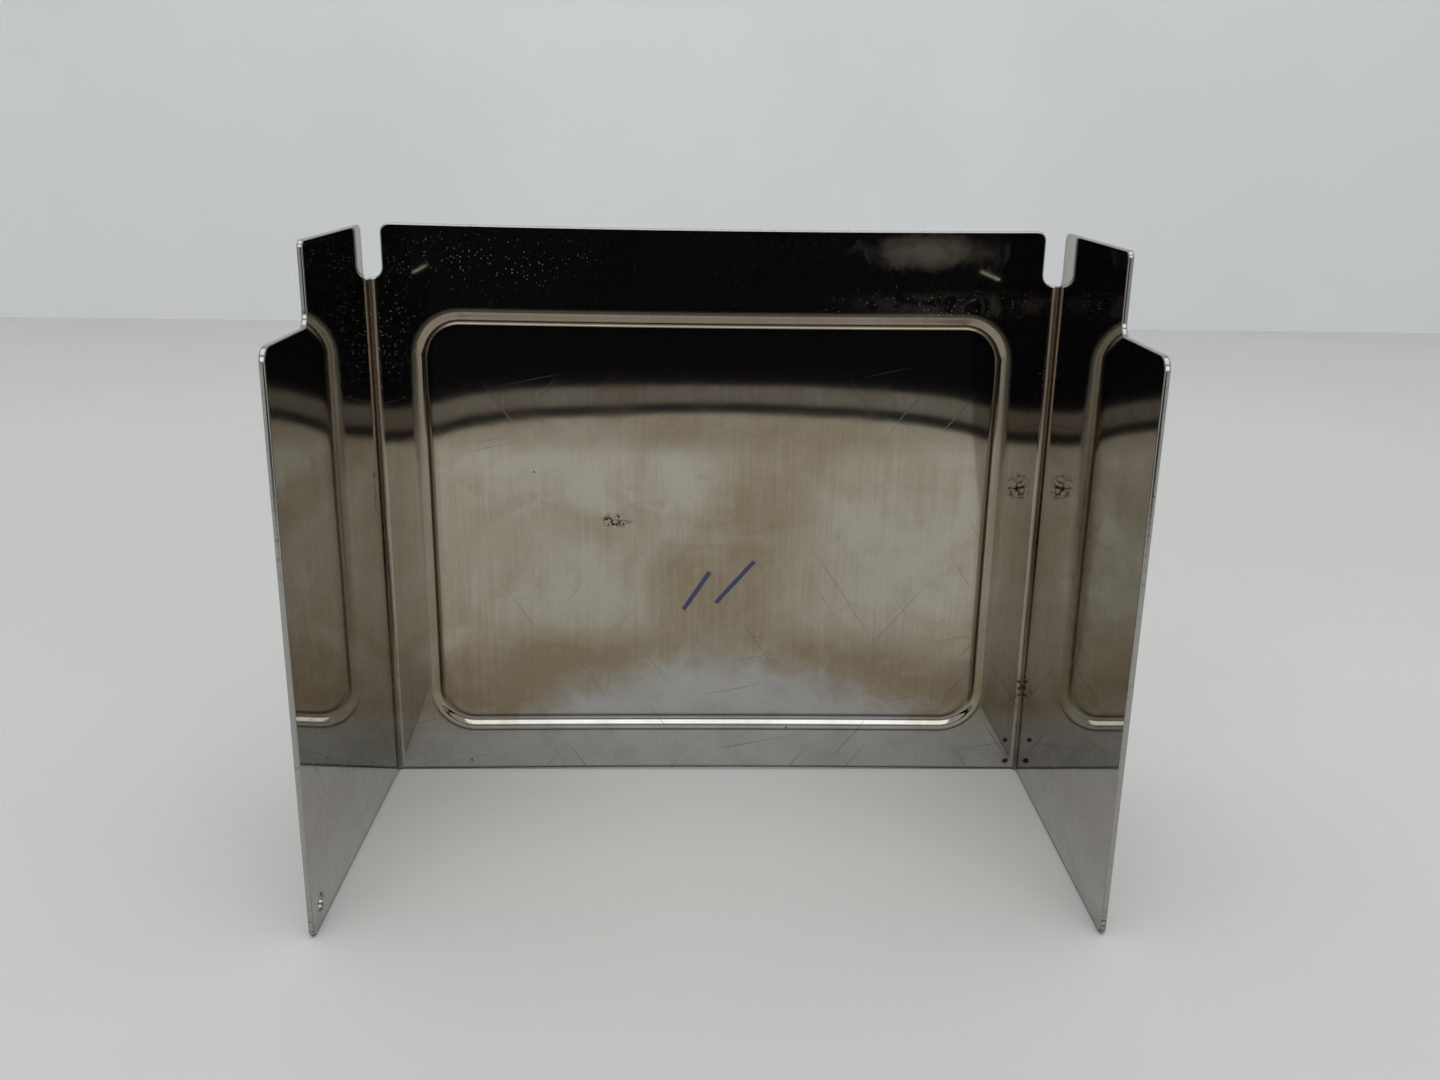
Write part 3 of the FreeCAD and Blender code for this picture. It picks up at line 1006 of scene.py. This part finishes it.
def area_light(name, spot, aim, size, power):
    data = bpy.data.lights.new(name, "AREA")
    data.shape = "RECTANGLE"
    data.size, data.size_y = size
    data.energy = power
    lamp = bpy.data.objects.new(name, data)
    spot, aim = Vector(spot), Vector(aim)
    lamp.location = spot
    lamp.rotation_euler = (aim - spot).to_track_quat("-Z", "Y").to_euler()
    bpy.context.scene.collection.objects.link(lamp)


def build_room():
    """Pale floor and backdrop under an even sky, with one soft light above."""
    stage_box("floor", (-ROOM_REACH, -ROOM_REACH, -20), (ROOM_REACH, BENCH_BACK, -0.05),
              paper("floor_paper", FLOOR_PAPER))
    stage_box("backdrop", (-ROOM_REACH, BENCH_BACK, -20), (ROOM_REACH, BENCH_BACK + 20, 2200),
              paper("backdrop_paper", BACKDROP_PAPER))
    world = bpy.data.worlds.new("studio")
    bpy.context.scene.world = world
    world.use_nodes = True
    background = world.node_tree.nodes["Background"]
    background.inputs["Color"].default_value = SKY
    background.inputs["Strength"].default_value = 0.50
    area_light("top_light", (0.0, -0.2, 1.7), (0.0, 0.1, 0.0), (2.4, 1.6), 15)


def build_reflections():
    """Cards in front of the cover: flags and a ledge seen only in reflections, and a light card."""
    black = glow("flag_black", FLAG_BLACK, 0.008)
    flag = (
        (-FLAG_NEAR, BENCH_FRONT), (FLAG_NEAR, BENCH_FRONT), (FLAG_FAR, FLAG_BACK), (-FLAG_FAR, FLAG_BACK))
    reflected_only(stage_sheet("floor_flag", flag, 1.0, black))
    reflected_only(stage_box(
        "front_flag", (-FRONT_FLAG_REACH, FLAG_BACK - 20, 0), (FRONT_FLAG_REACH, FLAG_BACK, 200), black))
    reflected_only(stage_box(
        "ledge_card", (-FLAG_NEAR, BENCH_FRONT - 4, 8.5), (FLAG_NEAR, BENCH_FRONT, 20.5),
        glow("ledge_grey", LEDGE_GREY, 0.24)))
    light = stage_box("front_light", (-1300, FLAG_BACK - 60, 500), (1300, FLAG_BACK - 40, 1500),
                      glow("light_card", (1, 1, 1), 2.0))
    light.visible_camera = False


# ---------------------------------------------------------------- camera
CAMERA_PLACE = (-10.397, -361.472, 184.669)
CAMERA_PITCH = math.radians(17.272)
CAMERA_YAW = math.radians(1.969)
CAMERA_ROLL = math.radians(0.915)
CAMERA_LENS = 33.23


def build_camera():
    """Camera in front of the open side, placed from the sheet's own origin."""
    data = bpy.data.cameras.new("camera")
    data.sensor_width = 36.0
    data.lens = CAMERA_LENS
    data.clip_start = 0.01
    data.clip_end = 20.0
    camera = bpy.data.objects.new("camera", data)
    forward = Vector((math.sin(CAMERA_YAW) * math.cos(CAMERA_PITCH),
                      math.cos(CAMERA_YAW) * math.cos(CAMERA_PITCH),
                      -math.sin(CAMERA_PITCH)))
    level = Vector((math.cos(CAMERA_YAW), -math.sin(CAMERA_YAW), 0.0))
    upright = level.cross(forward)
    right = level * math.cos(CAMERA_ROLL) + upright * math.sin(CAMERA_ROLL)
    up = upright * math.cos(CAMERA_ROLL) - level * math.sin(CAMERA_ROLL)
    rotation = Matrix((right, up, -forward)).transposed().to_4x4()
    place = Vector(CAMERA_PLACE) + Vector((ORIGIN_X, ORIGIN_Y, 0.0))
    camera.matrix_world = Matrix.Translation(place * MM) @ rotation
    bpy.context.scene.collection.objects.link(camera)
    bpy.context.scene.camera = camera


cover = sheet_object([InnerFace().material(), outer_chrome(), edge_chrome()])
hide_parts(NODE)
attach(cover, "root")

build_room()
build_reflections()
build_camera()
bpy.context.scene.view_settings.view_transform = "Standard"
